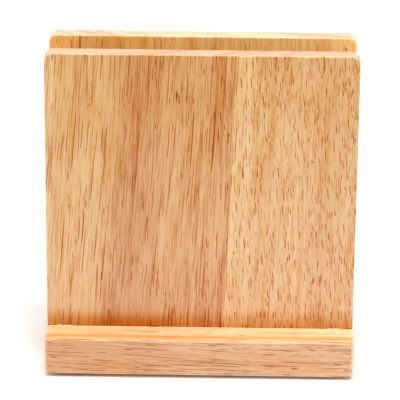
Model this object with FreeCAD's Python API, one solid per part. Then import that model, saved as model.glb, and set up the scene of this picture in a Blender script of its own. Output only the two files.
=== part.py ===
import FreeCAD, Part
import os

# Wooden napkin holder: two upright boards stand in grooves across a thick base board and
# are held from below by countersunk wood screws. Four felt pads carry the base.
# Units are millimetres. The origin is at the bottom centre, where the pads touch the table.
# X runs along the boards, -Y is the front and +Z is up.

# base board
base_width = 150.0
base_depth = 80.0
base_thickness = 18.5
base_corner_radius = 2.0
base_top_round = 1.0
base_bottom_round = 1.8

# upright boards
panel_thickness = 10.0
panel_top_above_base = 138.5
panel_corner_radius = 4.0
panel_arris_round = 0.9
slot_gap = 24.0
groove_depth = 4.0

# wood screws, driven upwards
screw_length = 30.0
screw_spread = 100.0
head_diameter = 7.0
head_land = 0.3
head_sink = 0.5
shank_diameter = 2.6
smooth_length = 12.0
thread_diameter = 3.5
core_diameter = 2.3
thread_pitch = 1.6
thread_flank = 0.3
tip_length = 4.0
recess_width = 0.85
recess_span = 4.2
recess_depth = 2.0
recess_end_diameter = 1.3

# holes for the screws
clearance_diameter = 3.6
countersink_diameter = 7.4
pilot_diameter = 2.4
pilot_depth = 18.0

# felt pads
pad_diameter = 12.0
pad_thickness = 1.5
pad_edge_round = 0.3
pad_inset = 12.0

# heights and places that follow from the dimensions above
base_bottom = pad_thickness
base_top = base_bottom + base_thickness
groove_floor = base_top - groove_depth
panel_height = panel_top_above_base + groove_depth
panel_offset = (slot_gap + panel_thickness) / 2
screw_base = base_bottom + head_sink

sides = {"left": -1, "right": 1}
rows = {"front": -1, "back": 1}


def centred_box(width, depth, height, y, z):
    """A box centred on x = 0 and on the given y, standing on the given z."""
    corner = FreeCAD.Vector(-width / 2, y - depth / 2, z)
    return Part.makeBox(width, depth, height, corner)


def upright_cylinder(diameter, height, x, y, z):
    """A cylinder with a vertical axis that stands on the given z."""
    return Part.makeCylinder(diameter / 2, height, FreeCAD.Vector(x, y, z))


def edges_at_height(shape, z):
    """The edges of a shape that lie wholly at one height."""
    return [e for e in shape.Edges if abs(e.BoundBox.ZMin - z) < 1e-4 and abs(e.BoundBox.ZMax - z) < 1e-4]


def vertical_edges(shape):
    """The straight edges of a shape that run along Z."""
    return [e for e in shape.Edges if e.BoundBox.XLength < 1e-4 and e.BoundBox.YLength < 1e-4]


def screw_places():
    """Each screw's name ending with its x and y."""
    for row, front_or_back in rows.items():
        for side, left_or_right in sides.items():
            yield row + "_" + side, left_or_right * screw_spread / 2, front_or_back * panel_offset


def screw_body():
    """One screw without its recess: head at the bottom, point at the top, on the Z axis."""
    shank = shank_diameter / 2
    core = core_diameter / 2
    crest = thread_diameter / 2
    head = head_diameter / 2
    outline = [(0, 0), (head, 0), (head, head_land), (shank, head_land + head - shank)]
    outline += [(shank, smooth_length - thread_pitch / 2), (core, smooth_length - thread_pitch / 2 + 0.2)]
    z = smooth_length
    while z < screw_length - 1.0:
        taper = min(1.0, (screw_length - z) / tip_length)
        root = core * taper
        ridge = root + (crest - core) * min(1.0, taper + 0.25)
        outline += [(root, z), (ridge, z + thread_flank), (root, z + 2 * thread_flank)]
        z += thread_pitch
    outline += [(0, screw_length)]
    points = [FreeCAD.Vector(r, 0, h) for r, h in outline]
    face = Part.Face(Part.makePolygon(points + [points[0]]))
    return face.revolve(FreeCAD.Vector(0, 0, 0), FreeCAD.Vector(0, 0, 1), 360)


def cross_recess():
    """The tapered cross that the driver enters, open at the underside of the head."""
    arms = centred_box(recess_span, recess_width, recess_depth, 0, 0)
    arms = arms.fuse(centred_box(recess_width, recess_span, recess_depth, 0, 0))
    taper = Part.makeCone(recess_span / 2, recess_end_diameter / 2, recess_depth)
    return arms.common(taper)


def screw_at(shape, x, y):
    """A copy of a screw shape set into the base from below."""
    placed = shape.copy()
    placed.translate(FreeCAD.Vector(x, y, screw_base))
    return placed


def base_board():
    """The base: rounded board, two grooves right across it and four countersunk holes."""
    board = centred_box(base_width, base_depth, base_thickness, 0, base_bottom)
    board = board.makeFillet(base_corner_radius, vertical_edges(board))
    board = board.makeFillet(base_top_round, edges_at_height(board, base_top))
    board = board.makeFillet(base_bottom_round, edges_at_height(board, base_bottom))
    for front_or_back in rows.values():
        y = front_or_back * panel_offset
        board = board.cut(centred_box(base_width + 2, panel_thickness, groove_depth + 1, y, groove_floor))
    cone_height = (countersink_diameter - clearance_diameter) / 2
    for _, x, y in screw_places():
        board = board.cut(upright_cylinder(clearance_diameter, base_thickness, x, y, base_bottom))
        board = board.cut(upright_cylinder(countersink_diameter, head_sink, x, y, base_bottom))
        sink = Part.makeCone(
            countersink_diameter / 2, clearance_diameter / 2, cone_height, FreeCAD.Vector(x, y, screw_base)
        )
        board = board.cut(sink)
    return board


def upright_board(y, screws):
    """An upright board: rounded top corners, softened arrises and the holes its screws have cut."""
    board = centred_box(base_width, panel_thickness, panel_height, y, groove_floor)
    top = groove_floor + panel_height
    top_corners = [
        e for e in edges_at_height(board, top) if e.BoundBox.XLength < 1e-4
    ]
    board = board.makeFillet(panel_corner_radius, top_corners)
    faces = (y - panel_thickness / 2, y + panel_thickness / 2)
    outline = [
        e
        for e in board.Edges
        if e.BoundBox.YLength < 1e-4
        and min(abs(e.BoundBox.YMin - f) for f in faces) < 1e-4
        and e.BoundBox.ZMax > groove_floor + 1e-4
    ]
    board = board.makeFillet(panel_arris_round, outline)
    for x, screw in screws:
        pilot = upright_cylinder(pilot_diameter, pilot_depth, x, y, groove_floor)
        board = board.cut(pilot).cut(screw)
    return board


def felt_pad(x, y):
    """A round self-adhesive pad with a softened lower rim."""
    pad = upright_cylinder(pad_diameter, pad_thickness, x, y, 0)
    return pad.makeFillet(pad_edge_round, edges_at_height(pad, 0))


def build():
    """Every piece of the holder by node name."""
    pieces = {"base_board": base_board()}
    whole_screw = screw_body()
    drive_screw = whole_screw.cut(cross_recess())
    for row, front_or_back in rows.items():
        y = front_or_back * panel_offset
        screws = [(x, screw_at(whole_screw, x, y)) for _, x, at_y in screw_places() if at_y == y]
        pieces[row + "_panel"] = upright_board(y, screws)
    for name, x, y in screw_places():
        pieces["screw_" + name] = screw_at(drive_screw, x, y)
    for row, front_or_back in rows.items():
        for side, left_or_right in sides.items():
            x = left_or_right * (base_width / 2 - pad_inset)
            y = front_or_back * (base_depth / 2 - pad_inset)
            pieces["felt_pad_" + row + "_" + side] = felt_pad(x, y)
    return pieces


os.makedirs("parts", exist_ok=True)
for name, shape in build().items():
    if shape.ShapeType != "Solid":
        shape = shape.Solids[0]
    print(name, shape.isValid(), shape.isClosed(), round(shape.Volume, 2), len(shape.Faces))
    shape.exportStep("parts/" + name + ".step")
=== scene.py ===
import math
import bpy
import numpy as np
from mathutils import Matrix, Vector


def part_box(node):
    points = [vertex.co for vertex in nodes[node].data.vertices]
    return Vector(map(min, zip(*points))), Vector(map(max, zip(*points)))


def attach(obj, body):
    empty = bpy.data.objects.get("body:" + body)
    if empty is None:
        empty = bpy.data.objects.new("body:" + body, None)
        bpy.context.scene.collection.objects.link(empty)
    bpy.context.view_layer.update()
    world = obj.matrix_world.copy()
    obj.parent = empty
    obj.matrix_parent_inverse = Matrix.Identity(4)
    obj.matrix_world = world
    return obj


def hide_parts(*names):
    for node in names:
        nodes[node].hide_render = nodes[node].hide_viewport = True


# Table-top napkin holder in satin-lacquered rubberwood. Everything is in metres, front towards -Y.
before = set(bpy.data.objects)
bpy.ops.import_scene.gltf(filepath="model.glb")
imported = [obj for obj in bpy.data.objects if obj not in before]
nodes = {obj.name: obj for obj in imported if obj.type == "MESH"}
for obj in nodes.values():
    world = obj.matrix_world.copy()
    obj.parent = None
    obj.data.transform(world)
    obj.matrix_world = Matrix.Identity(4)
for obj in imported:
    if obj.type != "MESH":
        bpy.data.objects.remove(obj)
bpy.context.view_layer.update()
print("frame loaded:", len(nodes), "nodes")


# small helpers for shader nodes

def addNode(tree, kind, inputs=None, out=0, **settings):
    # one node with its settings and its inputs, which are values or other nodes' outputs
    node = tree.nodes.new(kind)
    for name, value in settings.items():
        setattr(node, name, value)
    for name, value in (inputs or {}).items():
        if isinstance(value, bpy.types.NodeSocket):
            tree.links.new(value, node.inputs[name])
        else:
            node.inputs[name].default_value = value
    return node.outputs[out]


def maths(tree, operation, a, b=0.0, c=0.0):
    # one scalar sum: a (operation) b, with c for the sums that take three
    return addNode(tree, "ShaderNodeMath", {0: a, 1: b, 2: c}, operation=operation)


def product(tree, first, *others):
    # every value multiplied together
    for other in others:
        first = maths(tree, "MULTIPLY", first, other)
    return first


def combine(tree, x, y, z):
    # a vector from three numbers
    return addNode(tree, "ShaderNodeCombineXYZ", {0: x, 1: y, 2: z})


def separate(tree, vector):
    # the three numbers of a vector
    node = tree.nodes.new("ShaderNodeSeparateXYZ")
    tree.links.new(vector, node.inputs[0])
    return node.outputs


def stretched(tree, parts, scales):
    # a vector whose parts are each multiplied by a scale of their own
    return combine(tree, *(product(tree, part, scale) for part, scale in zip(parts, scales)))


def millimetres(tree, location=(0.0, 0.0, 0.0), turn=(0.0, 0.0, 0.0)):
    # the piece's own coordinates times 1000, then turned and shifted
    return addNode(tree, "ShaderNodeMapping", {
        "Vector": addNode(tree, "ShaderNodeTexCoord", out=3), "Location": location, "Rotation": turn,
        "Scale": (1000.0, 1000.0, 1000.0),
    }, vector_type="POINT")


def smooth(tree, value, low, high, start=0.0, end=1.0):
    # eases from start to end while value goes from low to high
    return addNode(tree, "ShaderNodeMapRange", {
        "Value": value, "From Min": low, "From Max": high, "To Min": start, "To Max": end,
    }, interpolation_type="SMOOTHSTEP")


def noise(tree, vector, detail=2.0, roughness=0.5, distortion=0.0):
    # a cloudy pattern about one unit across, from 0 to 1
    return addNode(tree, "ShaderNodeTexNoise", {
        "Vector": vector, "Scale": 1.0, "Detail": detail, "Roughness": roughness, "Distortion": distortion,
    })


def blend(tree, factor, a, b, mode="MIX"):
    # colour a with colour b laid on it
    node = tree.nodes.new("ShaderNodeMix")
    node.data_type = "RGBA"
    node.blend_type = mode
    node.clamp_result = False
    for index, value in ((0, factor), (6, a), (7, b)):
        if isinstance(value, bpy.types.NodeSocket):
            tree.links.new(value, node.inputs[index])
        else:
            node.inputs[index].default_value = value if index == 0 else (*value, 1.0)
    return node.outputs[2]


def ramp(tree, factor, stops):
    # straight runs of colour between (place 0 to 1, linear colour) stops, given in any order
    stops = sorted(stops, key=lambda stop: stop[0])
    node = tree.nodes.new("ShaderNodeValToRGB")
    tree.links.new(factor, node.inputs[0])
    band = node.color_ramp
    band.interpolation = "LINEAR"
    while len(band.elements) < len(stops):
        band.elements.new(1.0)
    for element, (place, colour) in zip(band.elements, stops):
        element.position = place
    for element, (place, colour) in zip(band.elements, stops):
        element.color = (*colour, 1.0)
    return node.outputs[0]


def toLinear(colour):
    # display colour 0 to 255 to the linear values a shader takes
    values = [c / 255 for c in colour]
    return tuple(v / 12.92 if v <= 0.04045 else ((v + 0.055) / 1.055) ** 2.4 for v in values)


def newMaterial(name):
    # an empty material with one shader
    material = bpy.data.materials.new(name)
    material.use_nodes = True
    tree = material.node_tree
    tree.nodes.clear()
    output = tree.nodes.new("ShaderNodeOutputMaterial")
    shader = tree.nodes.new("ShaderNodeBsdfPrincipled")
    tree.links.new(shader.outputs[0], output.inputs[0])
    return material, tree, shader


def setRelief(tree, shader, height, strength, depth):
    # bump from a height pattern, depth in metres
    bump = addNode(tree, "ShaderNodeBump", {"Strength": strength, "Distance": depth, "Height": height})
    tree.links.new(bump, shader.inputs["Normal"])


def wear(node, material):
    # gives a node's every face this material
    mesh = node.data
    mesh.materials.clear()
    mesh.materials.append(material)


# rubberwood: what the three boards share, then each board's own figure

woodLook = {
    "slow": (0.03, 0.012),              # waves per mm across and along the grain: its slow wandering,
    "quick": (0.35, 0.04),              # its quick shiver,
    "fine": (1.3, 0.035),               # fine streaks,
    "hair": (3.0, 0.16),                # hairlines,
    "patches": (0.16, 0.03),            # and patches with more or fewer pores
    "fineShares": (0.7, 0.6),           # how strong the fine streaks are, dark and pale
    "hairShare": 0.6,
    "patchShares": (0.45, 0.6),         # how strong the patches are, dark and pale
    "paleStreak": (1.08, 1.16, 1.25),   # what pale streaks and patches multiply the colour by
    "palePatch": (1.05, 1.1, 1.15),
    "endShare": 0.88,                   # how much of the end grain's own colour shows on the ends
    "endBand": (0.93, 0.8, 0.62),       # its darker bands
    "jointShadeColour": (0.89, 0.49, 0.03),   # painted shade at the panels' foot, where the base shades them and is reflected in them
    "seamColour": (0.5, 0.3, 0.16),     # the thin shadow line of that joint
    "markColour": (0.6, 0.27, 0.1),     # single dark pores
    "darkest": (0.55, 0.28, 0.16),      # and the darkest of the scattered ones
    "chalk": (0.72, 0.62, 0.5),         # pores filled with dust
    "knotRim": (0.9, 0.78, 0.5),
    "knotHeart": (1.0, 0.98, 0.6),
    "roughness": (0.4, 0.2),            # the lacquer's, and how much rougher the pores are
    "relief": (0.4, 0.0001),            # bump strength and depth in metres
}
poreLook = {
    # kind: spacing across and along the grain in mm (None: the board's own), seed, slant as a share of
    # the board's, then the least half width and its spread, as shares of the spacing across
    "lines": (None, 3.1, 0.0, (0.16, 0.2)),
    "moreLines": (None, 9.4, 0.0, (0.16, 0.2)),
    "thinLines": ((0.6, 34.0), 43.8, 0.0, (0.15, 0.16)),
    "flecks": ((0.8, 9.0), 17.7, 1.0, (0.18, 0.2)),
    "moreFlecks": ((0.85, 6.0), 31.2, 0.4, (0.18, 0.2)),
    "scatter": ((0.65, 8.0), 27.3, 0.0, (0.16, 0.2)),
    "darkest": ((1.0, 5.0), 51.9, 0.0, (0.3, 0.2)),
    "chalk": ((0.6, 0.9), 71.5, 0.0, (0.3, 0.2)),
}
# how many of each kind are left out, 0 to 1; lines and flecks go by the board's zones instead
poresLeftOut = {"thinLines": 0.15, "scatter": 0.4, "darkest": 0.996, "chalk": 0.9992}

boardLook = {
    "turn": (0.0, 0.0, 0.0),    # brings the board's grain onto w
    "lean": (-65.0, 110.0, 0.08, 0.0),  # the grain leans from 0.08 to 0 between these places across, mm
    "wander": 1.3,              # how far the grain wanders slowly and shivers quickly, mm
    "shiver": 0.5,
    "toneFrom": (0.0, -5.0),    # tones and zones are given along a line through this point,
    "toneWay": (1.0, 0.0),      # running this way across the board, in mm
    "line": (0.60, 0.22, 0.0),  # what pores, streaks and broad stripes multiply the colour by
    "streak": (0.86, 0.62, 0.22),
    "stripe": (0.83, 0.56, 0.2),
    "broad": (1.1, 0.2, 0.014),     # waves per mm of the broad streaks: out from the heart, across and along
    "arcs": (0.55, 0.012, 0.004),   # the same for the rings on the end grain
    "lines": (0.95, 50.0),      # spacing of the pore lines across and along, mm
    "moreLines": (0.75, 24.0),
    "patchiness": 1.5,          # how unevenly the pores are spread
    "fleckSlant": -0.12,
    "grainWay": (0.0, 0.0, 1.0),
    "edgeHighlight": (1.12, 1.3, 1.52),  # painted highlight: paler on the rounded edges, where the lacquer catches the light
    "leftPaintedShade": (1.0, 1.0, 1.0),    # painted light and shade: what the colour is multiplied by at the two ends of the grain
    "rightPaintedLight": (1.0, 1.0, 1.0),
    "marks": [],                # single dark pores: across, along, half width, half length in mm, strength
    "knots": [],                # pin knots: across, along, radius in mm
}
panelLook = dict(
    boardLook,
    foot=-70.0,                 # height of the joint with the base, where shade is painted on
    jointShadeLeft=(-70.0, -35.0, 0.82, 1.0),     # the painted shade is weaker towards both sides: places and strengths
    jointShadeRight=(-25.0, 0.0, 1.0, 0.6),
)
frontPanelLook = dict(
    panelLook, name="frontPanelRubberwood", location=(0.0, 17.0, -90.0), seed=0.0,
    heart=(-98.0, 190.0),       # centre of the growth rings, mm from the board's middle
    ringSpan=(186.0, 262.0),    # radii between which the tones are laid out
    gain=(0.693, 0.722, 0.683),     # what every tone is multiplied by
    tones=[
        (-76, (236, 194, 145)), (-70, (228, 181, 129)), (-50, (229, 180, 128)), (-43, (222, 168, 114)),
        (-38, (215, 154, 101)), (-24, (218, 161, 109)), (-16, (224, 170, 118)), (-6, (224, 170, 118)),
        (3, (224, 169, 118)), (11, (223, 168, 117)), (13.2, (217, 157, 107)), (14.2, (240, 198, 150)),
        (18.5, (237, 193, 145)), (30, (230, 181, 132)), (44, (234, 189, 142)), (60, (227, 175, 126)),
        (70, (232, 184, 136)), (76, (228, 178, 128)),
    ],
    lineZones=[(-75, 0.05), (-50, -0.1), (-38, -0.1), (8, -0.1), (14, 0.1), (17, 0.95), (75, 1.05)],
    fleckZones=[(-75, 1.1), (-45, 0.95), (10, 0.8), (16, 0.65), (20, 0.08), (75, 0.0)],
    streakZones=[
        (-75, 0.2), (-45, 0.35), (-35, 0.8), (-18, 0.5), (0, 0.8), (13, 0.85), (17, 0.2), (24, 0.4), (75, 0.35),
    ],
    footBounceLight=0.075,             # painted bounce light from the floor: how much paler the board is painted at its foot than at its top
    endColour=(0.69, 0.475, 0.30), endPink=(0.65, 0.34, 0.205),
    pinkZones=[(-75, 0.1), (-50, 0.2), (-30, 0.9), (15, 1.0), (35, 0.6), (75, 0.4)],
    marks=[
        (-11.9, 48.7, 0.5, 2.1, 1.0), (13.1, 29.2, 0.4, 1.4, 0.9), (-53.5, 43.3, 0.35, 1.2, 0.9),
        (53.2, 16.1, 0.4, 0.7, 1.0), (62.4, 44.6, 0.4, 0.8, 0.8), (57.0, 58.6, 0.4, 0.6, 0.9),
        (16.2, -31.0, 0.4, 0.9, 1.0), (42.3, -33.6, 0.4, 1.0, 1.0), (69.3, 3.1, 0.4, 0.7, 0.9),
        (-74.3, -69.8, 0.7, 0.45, 1.0), (-65.1, -69.9, 1.1, 0.35, 0.8), (-57.0, -69.9, 1.6, 0.3, 0.7),
        (66.7, -69.8, 0.8, 0.45, 1.0), (73.3, -69.8, 0.8, 0.4, 1.0), (70.4, -69.9, 0.8, 0.3, 0.7),
    ],
    knots=[(-69.0, 17.4, 1.7)],
)
backPanelLook = dict(
    panelLook, name="backPanelRubberwood", location=(0.0, -17.0, -90.0), seed=40.0,
    # painted light: the back board's tones are multiplied up far more than the front board's, to make up for
    # the shade its face gets in the slot behind the front panel
    heart=(120.0, 200.0), ringSpan=(205.0, 290.0), gain=(0.985, 1.045, 0.925),
    tones=[
        (-76, (226, 170, 112)), (-62, (214, 154, 98)), (-45, (220, 163, 102)), (-20, (225, 170, 112)),
        (0, (228, 176, 120)), (18, (226, 174, 116)), (34, (228, 181, 127)), (56, (225, 177, 126)),
        (76, (233, 188, 140)),
    ],
    lineZones=[(-75, 0.9), (0, 0.93), (30, 0.97), (75, 0.97)], fleckZones=[(-75, 0.95), (75, 0.95)],
    streakZones=[(-75, 0.7), (75, 0.4)], footBounceLight=0.03,
    endColour=(0.69, 0.60, 0.40), endPink=(0.68, 0.41, 0.28),
    pinkZones=[(-75, 1.0), (-45, 1.0), (-15, 0.1), (30, 0.35), (75, 0.8)],
    marks=[(-59.9, 62.0, 0.42, 9.0, 0.95), (-23.5, 60.0, 0.4, 6.0, 0.6), (-20.5, 64.0, 0.35, 5.0, 0.6)],
)
baseLook = dict(
    boardLook, name="baseRubberwood", location=(10.75, 0.0, 0.0), turn=(0.0, -math.pi / 2, 0.0), seed=80.0,
    heart=(0.0, 200.0), toneFrom=(-9.25, 0.0), toneWay=(0.0, 1.0), ringSpan=(155.0, 250.0),
    lean=(-20.0, 20.0, 0.04, 0.04), wander=1.0, shiver=0.35, broad=(0.9, 0.45, 0.014),
    gain=(0.92, 0.86, 0.86), streak=(0.93, 0.78, 0.62), stripe=(0.95, 0.76, 0.56), line=(0.52, 0.27, 0.18),
    # partly painted light: the top face (between the 38.6 stops) is painted much paler than the front and back
    # faces (39.2 to 41); the faces differ in wood too, but the paleness also stands in for the light falling on
    # the top
    tones=[
        (41, (210, 173, 134)), (39.2, (210, 173, 134)), (38.6, (246, 203, 147)), (20, (242, 197, 137)),
        (0, (244, 201, 143)), (-22, (252, 216, 168)), (-32, (252, 212, 162)), (-33.6, (246, 188, 120)),
        (-35.2, (240, 166, 93)), (-37.2, (250, 210, 154)), (-38.6, (248, 207, 151)), (-39.2, (210, 173, 134)),
        (-41, (210, 173, 134)),
    ],
    lines=(0.85, 60.0), moreLines=(0.85, 32.0),
    lineZones=[(41, 0.5), (39.5, 0.5), (38.6, 0.8), (-20, 0.85), (-38.6, 0.85), (-39.5, 0.1), (-41, 0.1)],
    fleckZones=[(40, 0.95), (-38.6, 1.0), (-39.5, 0.9), (-41, 0.9)],
    streakZones=[(40, 0.9), (-20, 1.0), (-38, 1.0), (-39.5, 0.8), (-41, 0.8)],
    fleckSlant=0.04, grainWay=(1.0, 0.0, 0.0), edgeHighlight=(1.15, 1.34, 1.6),
    endColour=(0.70, 0.46, 0.25), endPink=(0.64, 0.36, 0.17), pinkZones=[(40, 0.8), (-41, 0.8)],
    # painted light: the base is painted darker at its left end and paler at its right, where more light falls
    arcs=(0.5, 0.012, 0.004), leftPaintedShade=(0.965, 0.89, 0.84), rightPaintedLight=(1.045, 1.115, 1.20), patchiness=0.35,
)


def dashes(tree, place, spacing, leftOut, seed, slant, half):
    # short lines along the grain: stretched cells, each holding one dash of its own size and strength;
    # leftOut (0 to 1, may be patterned) is the share of cells without one
    u, v, w = place
    width, length = spacing
    leaned = maths(tree, "SUBTRACT", u, product(tree, w, slant)) if slant else u
    cell = combine(tree, maths(tree, "DIVIDE", maths(tree, "ADD", leaned, seed), width),
                   maths(tree, "DIVIDE", v, width),
                   maths(tree, "DIVIDE", maths(tree, "ADD", w, 7 * seed), length))
    spots = tree.nodes.new("ShaderNodeTexVoronoi")
    spots.distance = "MINKOWSKI"
    tree.links.new(cell, spots.inputs["Vector"])
    spots.inputs["Scale"].default_value = 1.0
    spots.inputs["Exponent"].default_value = 3.0
    chance = tree.nodes.new("ShaderNodeSeparateColor")
    tree.links.new(spots.outputs["Color"], chance.inputs[0])
    least, spread = half
    radius = maths(tree, "MULTIPLY_ADD", chance.outputs[0], spread, least)
    edge = smooth(tree, maths(tree, "SUBTRACT", radius, spots.outputs["Distance"]), -0.03, 0.09)
    kept = maths(tree, "GREATER_THAN", chance.outputs[1], leftOut)
    strength = maths(tree, "MULTIPLY_ADD", maths(tree, "POWER", chance.outputs[2], 1.3), 0.78, 0.24)
    return product(tree, edge, kept, strength)


def rubberwood(look):
    # solid wood: growth rings round a far-off heart, streaks and pores drawn out along the grain (w),
    # all worked out in millimetres across (u, v) and along (w), so faces, edges and end grain agree
    material, tree, shader = newMaterial(look["name"])
    u, v, w = separate(tree, millimetres(tree, look["location"], look["turn"]))
    seed = look["seed"]
    heartU, heartV = look["heart"]
    ringLow, ringHigh = look["ringSpan"]

    def ringPlaceOf(distance):
        # where the point at this distance along the tone line lies on the ring scale
        (fromU, fromV), (wayU, wayV) = look["toneFrom"], look["toneWay"]
        radius = math.hypot(fromU + distance * wayU - heartU, fromV + distance * wayV - heartV)
        return min(1.0, max(0.0, (radius - ringLow) / (ringHigh - ringLow)))

    def zones(stops):
        # a share that changes from ring to ring
        return ramp(tree, ringPlace, [(ringPlaceOf(d), (s, s, s)) for d, s in stops])

    def grain(start, fineness, shift=0.0, **settings):
        # noise drawn out along the grain, so many waves per mm across and along it
        many, few = fineness
        return noise(tree, combine(tree, maths(tree, "MULTIPLY_ADD", start, many, seed + shift),
                                   product(tree, v, many), product(tree, w, few)), **settings)

    def ringGrain(fineness, **settings):
        # the same, but following the rings: waves per mm out from the heart, across and along
        out, side, few = fineness
        return noise(tree, combine(tree, maths(tree, "MULTIPLY_ADD", ring, out, seed),
                                   product(tree, across, side), product(tree, w, few)), **settings)

    def pores(kind, leftOut):
        # dashes of one kind
        spacing, shift, slant, half = poreLook[kind]
        return dashes(tree, (across, v, w), spacing or look[kind], leftOut, shift + seed,
                      slant * look["fleckSlant"], half)

    # the grain's lean and its slow and quick wandering
    slow = grain(u, woodLook["slow"])
    quick = grain(u, woodLook["quick"])
    leaned = maths(tree, "SUBTRACT", u, product(tree, smooth(tree, u, *look["lean"]), w))
    drift = product(tree, maths(tree, "SUBTRACT", slow, 0.5), 2 * look["wander"])
    shiver = product(tree, maths(tree, "SUBTRACT", quick, 0.5), look["shiver"])
    across = maths(tree, "ADD", maths(tree, "ADD", leaned, drift), shiver)

    ring = addNode(tree, "ShaderNodeVectorMath", {
        0: combine(tree, across, v, 0.0), 1: (heartU, heartV, 0.0),
    }, out=1, operation="DISTANCE")
    ringPlace = maths(tree, "DIVIDE", maths(tree, "SUBTRACT", ring, ringLow), ringHigh - ringLow)
    colour = ramp(tree, ringPlace, [
        (ringPlaceOf(d), tuple(g * t for g, t in zip(look["gain"], toLinear(c)))) for d, c in look["tones"]
    ])

    # streaks, hairlines and patches
    broad = ringGrain(look["broad"], detail=2.0, roughness=0.6)
    fine = grain(across, woodLook["fine"], detail=3.0, roughness=0.6)
    hair = grain(across, woodLook["hair"], detail=1.0, roughness=0.5)
    patches = grain(across, woodLook["patches"], shift=5.0, detail=2.0)
    fineDark, fineLight = woodLook["fineShares"]
    patchDark, patchLight = woodLook["patchShares"]
    broadDark = product(tree, smooth(tree, broad, 0.49, 0.68), zones(look["streakZones"]))
    for share, tint in (
        (broadDark, look["stripe"]),
        (product(tree, smooth(tree, fine, 0.48, 0.7), fineDark), look["streak"]),
        (product(tree, smooth(tree, fine, 0.48, 0.25), fineLight), woodLook["paleStreak"]),
        (smooth(tree, hair, 0.5, 0.7, 0.0, woodLook["hairShare"]), look["streak"]),
        (smooth(tree, patches, 0.52, 0.3, 0.0, patchDark), look["streak"]),
        (smooth(tree, patches, 0.52, 0.7, 0.0, patchLight), woodLook["palePatch"]),
    ):
        colour = blend(tree, share, colour, tint, "MULTIPLY")

    # end grain: paler with pinkish rings, and only where the surface cuts across the grain
    facing = addNode(tree, "ShaderNodeNewGeometry", out=1)
    turned = addNode(tree, "ShaderNodeVectorMath", {0: facing, 1: look["grainWay"]}, out=1,
                     operation="DOT_PRODUCT")
    endShare = smooth(tree, maths(tree, "ABSOLUTE", turned), 0.6, 0.9, 0.0, woodLook["endShare"])
    arcs = ringGrain(look["arcs"], detail=3.0, roughness=0.55)
    pinkRings = product(tree, smooth(tree, arcs, 0.42, 0.58), zones(look["pinkZones"]))
    endTone = blend(tree, pinkRings, look["endColour"], look["endPink"])
    endTone = blend(tree, smooth(tree, arcs, 0.5, 0.72, 0.0, 0.7), endTone, woodLook["endBand"], "MULTIPLY")
    colour = blend(tree, endShare, colour, endTone)

    # painted highlight on the rounded edges, where the surface faces none of the board's own ways squarely
    faceX, faceY, faceZ = (maths(tree, "ABSOLUTE", part) for part in separate(tree, facing))
    squarest = maths(tree, "MAXIMUM", faceX, maths(tree, "MAXIMUM", faceY, faceZ))
    colour = blend(tree, smooth(tree, squarest, 0.985, 0.86), colour, look["edgeHighlight"], "MULTIPLY")

    # painted light and shade from one end of the grain to the other
    tint = blend(tree, smooth(tree, w, -80.0, 80.0), look["leftPaintedShade"], look["rightPaintedLight"])
    colour = blend(tree, 1.0, colour, tint, "MULTIPLY")

    # the joint with the base: painted shade in the corner, where the base shades the panel and is reflected in
    # it, and painted floor bounce making the board a little paler towards its foot
    if "foot" in look:
        height = maths(tree, "SUBTRACT", w, look["foot"])
        onFaces = smooth(tree, faceY, 0.3, 0.8)
        # painted shade: a darker, more saturated band just above the joint
        shadeTop = maths(tree, "MULTIPLY_ADD", broad, 4.0, 8.6)
        paintedShade = product(tree, smooth(tree, height, shadeTop, 0.8), smooth(tree, u, *look["jointShadeRight"]),
                         smooth(tree, u, *look["jointShadeLeft"]), onFaces, smooth(tree, height, -0.8, 0.2))
        # painted bounce light: the board is painted paler towards its foot
        bounceLight = product(tree, smooth(tree, height, 150.0, 0.0, 0.0, look["footBounceLight"]),
                       maths(tree, "SUBTRACT", 1.0, paintedShade))
        colour = blend(tree, bounceLight, colour, (1.0, 1.0, 1.0), "ADD")
        colour = blend(tree, paintedShade, colour, woodLook["jointShadeColour"], "MULTIPLY")

    # pores: long lines, flecks, and a fine scatter everywhere, faint on the end grain
    sparse = product(tree, maths(tree, "SUBTRACT", patches, 0.5), look["patchiness"])
    linesOut, flecksOut = (maths(tree, "ADD", zones(look[k]), sparse) for k in ("lineZones", "fleckZones"))
    sunk = product(tree, pores("scatter", poresLeftOut["scatter"]), 0.6)
    for kind, leftOut in (
        ("lines", linesOut), ("moreLines", linesOut),
        ("thinLines", maths(tree, "ADD", linesOut, poresLeftOut["thinLines"])),
        ("flecks", flecksOut), ("moreFlecks", flecksOut),
    ):
        sunk = maths(tree, "MAXIMUM", sunk, pores(kind, leftOut))
    sideShare = maths(tree, "SUBTRACT", 1.0, product(tree, endShare, 0.8))
    colour = blend(tree, product(tree, sunk, sideShare), colour, look["line"], "MULTIPLY")
    colour = blend(tree, pores("darkest", poresLeftOut["darkest"]), colour, woodLook["darkest"], "MULTIPLY")
    colour = blend(tree, pores("chalk", poresLeftOut["chalk"]), colour, woodLook["chalk"])

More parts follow.
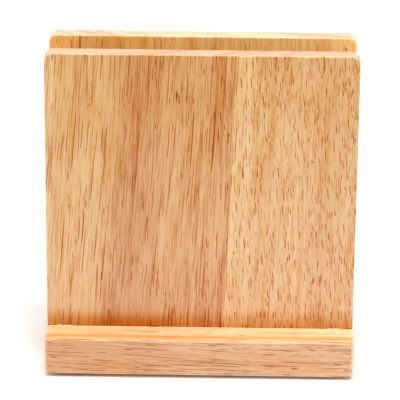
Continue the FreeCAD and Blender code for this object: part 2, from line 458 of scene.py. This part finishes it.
    # single dark pores, ellipses on the front face, and round pin knots with a darker rim
    frontFace = smooth(tree, v, -3.2, -4.2)
    for markU, markW, halfWidth, halfLength, depth in look["marks"]:
        offU = maths(tree, "DIVIDE", maths(tree, "SUBTRACT", u, markU), halfWidth)
        offW = maths(tree, "DIVIDE", maths(tree, "SUBTRACT", w, markW), halfLength)
        away = maths(tree, "ADD", product(tree, offU, offU), product(tree, offW, offW))
        mark = product(tree, smooth(tree, away, 1.3, 0.4, 0.0, depth), frontFace)
        colour = blend(tree, mark, colour, woodLook["markColour"], "MULTIPLY")
    for knotU, knotW, knotRadius in look["knots"]:
        offset = combine(tree, maths(tree, "SUBTRACT", u, knotU), 0.0, maths(tree, "SUBTRACT", w, knotW))
        away = addNode(tree, "ShaderNodeVectorMath", {0: offset}, out=1, operation="LENGTH")
        fromRim = maths(tree, "ABSOLUTE", maths(tree, "SUBTRACT", away, knotRadius))
        rim = smooth(tree, fromRim, 0.5, 0.0, 0.0, 0.5)
        heart = smooth(tree, away, 1.3 * knotRadius, 0.5 * knotRadius)
        colour = blend(tree, heart, colour, woodLook["knotHeart"], "MULTIPLY")
        colour = blend(tree, rim, colour, woodLook["knotRim"], "MULTIPLY")
    if "foot" in look:
        seam = product(tree, smooth(tree, height, 0.7, 0.2), smooth(tree, quick, 0.35, 0.6, 0.15, 0.7), onFaces,
                       smooth(tree, height, -0.4, 0.0))
        colour = blend(tree, seam, colour, woodLook["seamColour"], "MULTIPLY")

    # satin lacquer over it all, sunk and rougher in the pores
    tree.links.new(colour, shader.inputs["Base Color"])
    satin, inPores = woodLook["roughness"]
    tree.links.new(maths(tree, "MULTIPLY_ADD", sunk, inPores, satin), shader.inputs["Roughness"])
    relief = maths(tree, "SUBTRACT", product(tree, fine, 0.4), sunk)
    setRelief(tree, shader, relief, *woodLook["relief"])
    shader.inputs["IOR"].default_value = 1.5
    shader.inputs["Specular IOR Level"].default_value = 0.12
    return material


wear(nodes["front_panel"], rubberwood(frontPanelLook))
wear(nodes["back_panel"], rubberwood(backPanelLook))
wear(nodes["base_board"], rubberwood(baseLook))
print("boards done")


# screws, felt pads and the glue at the joint

screwLook = {
    "plating": (0.60, 0.58, 0.53),      # zinc, faintly warm
    "dulled": (0.36, 0.34, 0.31),
    "roughness": (0.26, 0.46),
    "clouds": 0.6,                      # waves per mm of the dull patches
    "turning": (0.2, 9.0),              # and of the turning marks, round the shank and along it
    "relief": (0.25, 0.00004),
}


def zincPlating(look):
    # bright zinc on steel: cloudy patches along the shank and fine turning marks round it
    material, tree, shader = newMaterial("zincPlatedSteel")
    x, y, z = separate(tree, millimetres(tree))
    clouds = noise(tree, stretched(tree, (x, y, z), [look["clouds"]] * 3), detail=3.0, roughness=0.6)
    aroundShank, alongShank = look["turning"]
    turning = noise(tree, combine(tree, 0.0, product(tree, x, aroundShank), product(tree, z, alongShank)))
    colour = blend(tree, smooth(tree, clouds, 0.42, 0.68), look["plating"], look["dulled"])
    tree.links.new(colour, shader.inputs["Base Color"])
    tree.links.new(smooth(tree, clouds, 0.35, 0.7, *look["roughness"]), shader.inputs["Roughness"])
    setRelief(tree, shader, maths(tree, "ADD", turning, product(tree, clouds, 0.5)), *look["relief"])
    shader.inputs["Metallic"].default_value = 1.0
    return material


zinc = zincPlating(screwLook)
for screw in ("screw_front_left", "screw_front_right", "screw_back_left", "screw_back_right"):
    wear(nodes[screw], zinc)


def newPiece(name, points, faces, material):
    # a mesh object from vertices in metres, smooth shaded, riding with the rest of the holder
    mesh = bpy.data.meshes.new(name)
    mesh.from_pydata(points.tolist(), [], faces)
    mesh.polygons.foreach_set("use_smooth", np.ones(len(mesh.polygons), dtype=bool))
    mesh.materials.append(material)
    mesh.update()
    piece = bpy.data.objects.new(name, mesh)
    bpy.context.scene.collection.objects.link(piece)
    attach(piece, "root")
    return piece


def gridFaces(rows, columns):
    # quads of a rows by columns grid of vertices whose columns close into a loop
    row, column = np.meshgrid(np.arange(rows - 1), np.arange(columns), indexing="ij")
    here = (row * columns + column).ravel()
    beside = (row * columns + (column + 1) % columns).ravel()
    return np.stack([here, beside, beside + columns, here + columns], axis=1).tolist()


feltLook = {
    "around": 96,               # vertices round a pad
    "flatRings": (0.25, 0.5, 0.75, 0.93),   # rings of its flat sides, as shares of their radius
    "bend": 14,                 # rings of its rounded edge
    "roundness": 0.00035,       # radius of the cut edge's soft corners, metres
    "unevenness": 0.00011,      # how far the edge wanders in
    "fibres": 260,
    "fibreLength": (0.0003, 0.0009),
    "fibreWidth": 0.00003,
    "rootDepth": 0.0003,        # how far inside the edge a fibre starts
    "colour": (0.085, 0.052, 0.035),
    "paleFibres": (0.25, 0.18, 0.13),
    "tangles": ((5.0, 1.6, 5.0), (1.6, 5.0, 5.0)),  # waves per mm of the fibres lying one way and the other
    "relief": (0.7, 0.00015),
}


def feltMaterial(look):
    # pressed wool felt: a matted tangle of dark and paler fibres with a soft sheen
    material, tree, shader = newMaterial("brownFelt")
    parts = separate(tree, millimetres(tree))
    oneWay, otherWay = (noise(tree, stretched(tree, parts, scales), detail=3.0, roughness=0.7, distortion=1.6)
                        for scales in look["tangles"])
    matted = maths(tree, "MAXIMUM", oneWay, otherWay)
    colour = blend(tree, smooth(tree, matted, 0.5, 0.75), look["colour"], look["paleFibres"])
    tree.links.new(colour, shader.inputs["Base Color"])
    tree.links.new(smooth(tree, matted, 0.4, 0.8, 0.85, 0.98), shader.inputs["Roughness"])
    setRelief(tree, shader, matted, *look["relief"])
    shader.inputs["Sheen Weight"].default_value = 0.3
    shader.inputs["Sheen Roughness"].default_value = 0.5
    return material


def feltPad(node, name, look, material, random):
    # a disc turned round its middle: the profile is a rectangle with round corners, and the rim wanders in
    # and out by a sum of sines round the pad; short tapered fibres stand out of the rim
    low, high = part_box(node)
    middle = np.array((low + high) / 2)
    radius, thick, corner = (high.x - low.x) / 2, high.z - low.z, look["roundness"]
    around = np.linspace(0, 2 * np.pi, look["around"], endpoint=False)
    bend = np.linspace(-np.pi / 2, np.pi / 2, look["bend"])
    flat = np.array(look["flatRings"]) * (radius - corner)
    reach = np.concatenate([flat, radius - corner + corner * np.cos(bend), flat[::-1]])
    edgeHeight = np.where(bend < 0, corner, thick - corner) + corner * np.sin(bend)
    height = np.concatenate([np.zeros(len(flat)), edgeHeight, np.full(len(flat), thick)])
    waves = sum(random.uniform(-1, 1) * np.sin(k * around + random.uniform(0, 6.3)) for k in range(2, 24)) / 4
    dents = random.uniform(-1, 1, (len(reach), len(around))) * 0.5
    inward = look["unevenness"] * (1 + np.clip(waves[None, :] + dents, -1, 1))
    out = reach[:, None] - inward * (reach[:, None] / radius) ** 6
    points = np.stack([middle[0] + out * np.cos(around), middle[1] + out * np.sin(around),
                       low.z + height[:, None] + 0 * around], axis=2).reshape(-1, 3)
    count = len(points)
    poles = np.array([[middle[0], middle[1], low.z], [middle[0], middle[1], high.z]])
    faces = gridFaces(len(reach), len(around))
    last = count - len(around)
    turn = np.arange(len(around))
    after = (turn + 1) % len(around)
    faces += np.stack([np.full_like(turn, count), after, turn], axis=1).tolist()
    faces += np.stack([np.full_like(turn, count + 1), last + turn, last + after], axis=1).tolist()

    # fibres: thin three-sided spikes, each from a point of the rim outwards and a little up, down or round
    number, width = look["fibres"], look["fibreWidth"]
    where = random.uniform(0, 2 * np.pi, number)
    rise = random.uniform(0.12, 0.88, number) * thick
    length = random.uniform(*look["fibreLength"], number)
    side = where + random.uniform(-0.9, 0.9, number)
    rootRadius = radius - look["rootDepth"]
    root = np.stack([middle[0] + rootRadius * np.cos(where), middle[1] + rootRadius * np.sin(where),
                     low.z + rise], axis=1)
    tilt = np.clip(random.uniform(-0.4, 0.4, number),
                   (0.05 * thick - rise) / length, (0.95 * thick - rise) / length)
    way = np.stack([np.cos(side), np.sin(side), tilt], axis=1) * length[:, None]
    sideways = np.stack([-np.sin(side), np.cos(side), 0 * side], axis=1) * width
    upwards = np.array([0.0, 0.0, width])
    corners = np.stack([root - sideways, root + sideways, root + upwards, root + way], axis=1).reshape(-1, 3)
    first = count + len(poles) + 4 * np.arange(number)
    for a, b, c in ((0, 1, 3), (1, 2, 3), (2, 0, 3), (1, 0, 2)):
        faces += np.stack([first + a, first + b, first + c], axis=1).tolist()
    piece = newPiece(name, np.concatenate([points, poles, corners]), faces, material)
    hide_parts(node)


felt = feltMaterial(feltLook)
feltRandom = np.random.default_rng(12)
for node, name in (("felt_pad_front_left", "feltPadFrontLeft"), ("felt_pad_front_right", "feltPadFrontRight"),
                   ("felt_pad_back_left", "feltPadBackLeft"), ("felt_pad_back_right", "feltPadBackRight")):
    feltPad(node, name, feltLook, felt, feltRandom)

glueLook = {
    "size": (0.00008, 0.00034),     # how far the bead stands out at its thinnest and fattest
    "drops": 9,
    "dropLength": (0.0003, 0.0009),
    "step": 0.00025,                # between two cross-sections
    "arc": 9,                       # vertices on its round side
    "sunk": 0.00006,                # how far the bead's back lies inside the wood
    "colour": (0.86, 0.74, 0.55),
    "clouded": (0.72, 0.5, 0.28),
    "relief": (0.4, 0.00005),
    "beads": [                      # name, from x, to x, in metres
        ("glueBeadLeft", -0.0742, -0.0622),
        ("glueBeadRight", 0.0614, 0.0712),
    ],
}


def driedGlue(look):
    # pale dried wood glue: glossy, with cloudy yellower patches
    material, tree, shader = newMaterial("driedWoodGlue")
    clouds = noise(tree, millimetres(tree), detail=3.0, roughness=0.6)
    colour = blend(tree, smooth(tree, clouds, 0.35, 0.65), look["colour"], look["clouded"])
    tree.links.new(colour, shader.inputs["Base Color"])
    tree.links.new(smooth(tree, clouds, 0.3, 0.7, 0.22, 0.4), shader.inputs["Roughness"])
    setRelief(tree, shader, clouds, *look["relief"])
    return material


def glueBead(name, start, end, look, material, random):
    # a bead in the corner between panel and base: a quarter circle carried along the joint, whose radius
    # swells and shrinks in drops and dies away at both ends
    seamY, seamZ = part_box("front_panel")[0].y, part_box("base_board")[1].z
    x = np.arange(start, end, look["step"])
    along = (x - start) / (x[-1] - start)
    thin, fat = look["size"]
    drops = sum(np.exp(-((x - random.uniform(start, end)) / random.uniform(*look["dropLength"])) ** 2)
                for _ in range(look["drops"]))
    size = (thin + (fat - thin) * np.clip(drops, 0, 1)) * np.sqrt(np.clip(4 * along * (1 - along), 0.001, 1))
    angle = np.linspace(0, np.pi / 2, look["arc"])
    sunk = look["sunk"]
    loopY = np.concatenate([-np.cos(angle), [0.0]])
    loopZ = np.concatenate([np.sin(angle), [0.0]])
    backY = np.concatenate([np.zeros(len(angle) - 1), [sunk, sunk]])
    backZ = np.concatenate([[-sunk], np.zeros(len(angle) - 1), [-sunk]])
    points = np.stack([x[:, None] + 0 * loopY, seamY + size[:, None] * loopY + backY,
                       seamZ + size[:, None] * loopZ + backZ], axis=2).reshape(-1, 3)
    columns = len(loopY)
    faces = gridFaces(len(x), columns)
    faces += [list(range(columns - 1, -1, -1)), list(range(len(points) - columns, len(points)))]
    newPiece(name, points, faces, material)


glue = driedGlue(glueLook)
glueRandom = np.random.default_rng(5)
for beadName, beadStart, beadEnd in glueLook["beads"]:
    glueBead(beadName, beadStart, beadEnd, glueLook, glue, glueRandom)
print("screws, pads and glue done")


# floor, light and camera

stageLook = {
    "floorSize": 8.0,
    "floorColour": (0.86, 0.86, 0.86),
    "sky": 0.82,
    "lamps": [                        # name, watts, width, place, aimed at
        ("mainSoftbox", 42.0, 1.3, (0.12, -0.92, 2.0), (0.0, 0.0, 0.08)),
    ],
}


def floorSheet(size):
    # a flat square on z = 0, from -size/2 to size/2 each way
    half = size / 2
    corners = np.array([(-half, -half, 0), (half, -half, 0), (half, half, 0), (-half, half, 0)])
    mesh = bpy.data.meshes.new("floor")
    mesh.from_pydata(corners.tolist(), [], [(0, 1, 2, 3)])
    floor = bpy.data.objects.new("floor", mesh)
    bpy.context.scene.collection.objects.link(floor)
    material, tree, shader = newMaterial("paleFloor")
    shader.inputs["Base Color"].default_value = (*stageLook["floorColour"], 1.0)
    shader.inputs["Roughness"].default_value = 0.9
    mesh.materials.append(material)
    return floor


floorSheet(stageLook["floorSize"])

world = bpy.data.worlds.new("studio")
bpy.context.scene.world = world
world.use_nodes = True
world.node_tree.nodes["Background"].inputs[0].default_value = (1.0, 1.0, 1.0, 1.0)
world.node_tree.nodes["Background"].inputs[1].default_value = stageLook["sky"]


def softbox(name, watts, width, place, target):
    # a square lamp facing its target
    lamp = bpy.data.lights.new(name, "AREA")
    lamp.energy = watts
    lamp.size = width
    holder = bpy.data.objects.new(name, lamp)
    holder.location = place
    holder.rotation_euler = (Vector(target) - Vector(place)).to_track_quat("-Z", "Y").to_euler()
    bpy.context.scene.collection.objects.link(holder)


for lampLook in stageLook["lamps"]:
    softbox(*lampLook)

cameraLook = {
    "distance": 1.1586,     # from the target, metres
    "pitch": 19.18,         # degrees
    "yaw": 0.71,
    "roll": 0.49,
    "lens": 211.9,          # mm, on film 36 mm wide
    "target": (-0.00071, 0.0, 0.0785),
}


def cameraAt(look):
    # the camera looks at the target from in front: yaw turns it to the right, pitch lifts it, roll tips it
    yaw, pitch, roll = (math.radians(look[k]) for k in ("yaw", "pitch", "roll"))
    back = Vector((math.sin(yaw) * math.cos(pitch), -math.cos(yaw) * math.cos(pitch), math.sin(pitch)))
    right = Vector((math.cos(yaw), math.sin(yaw), 0.0))
    up = back.cross(right)
    tippedRight = math.cos(roll) * right + math.sin(roll) * up
    tippedUp = -math.sin(roll) * right + math.cos(roll) * up
    data = bpy.data.cameras.new("camera")
    data.lens = look["lens"]
    data.sensor_width = 36.0
    camera = bpy.data.objects.new("camera", data)
    place = Vector(look["target"]) + back * look["distance"]
    axes = Matrix((tippedRight, tippedUp, back)).transposed().to_4x4()
    camera.matrix_world = Matrix.Translation(place) @ axes
    bpy.context.scene.collection.objects.link(camera)
    bpy.context.scene.camera = camera


cameraAt(cameraLook)
bpy.context.scene.view_settings.view_transform = "Standard"
print("floor, light and camera done")
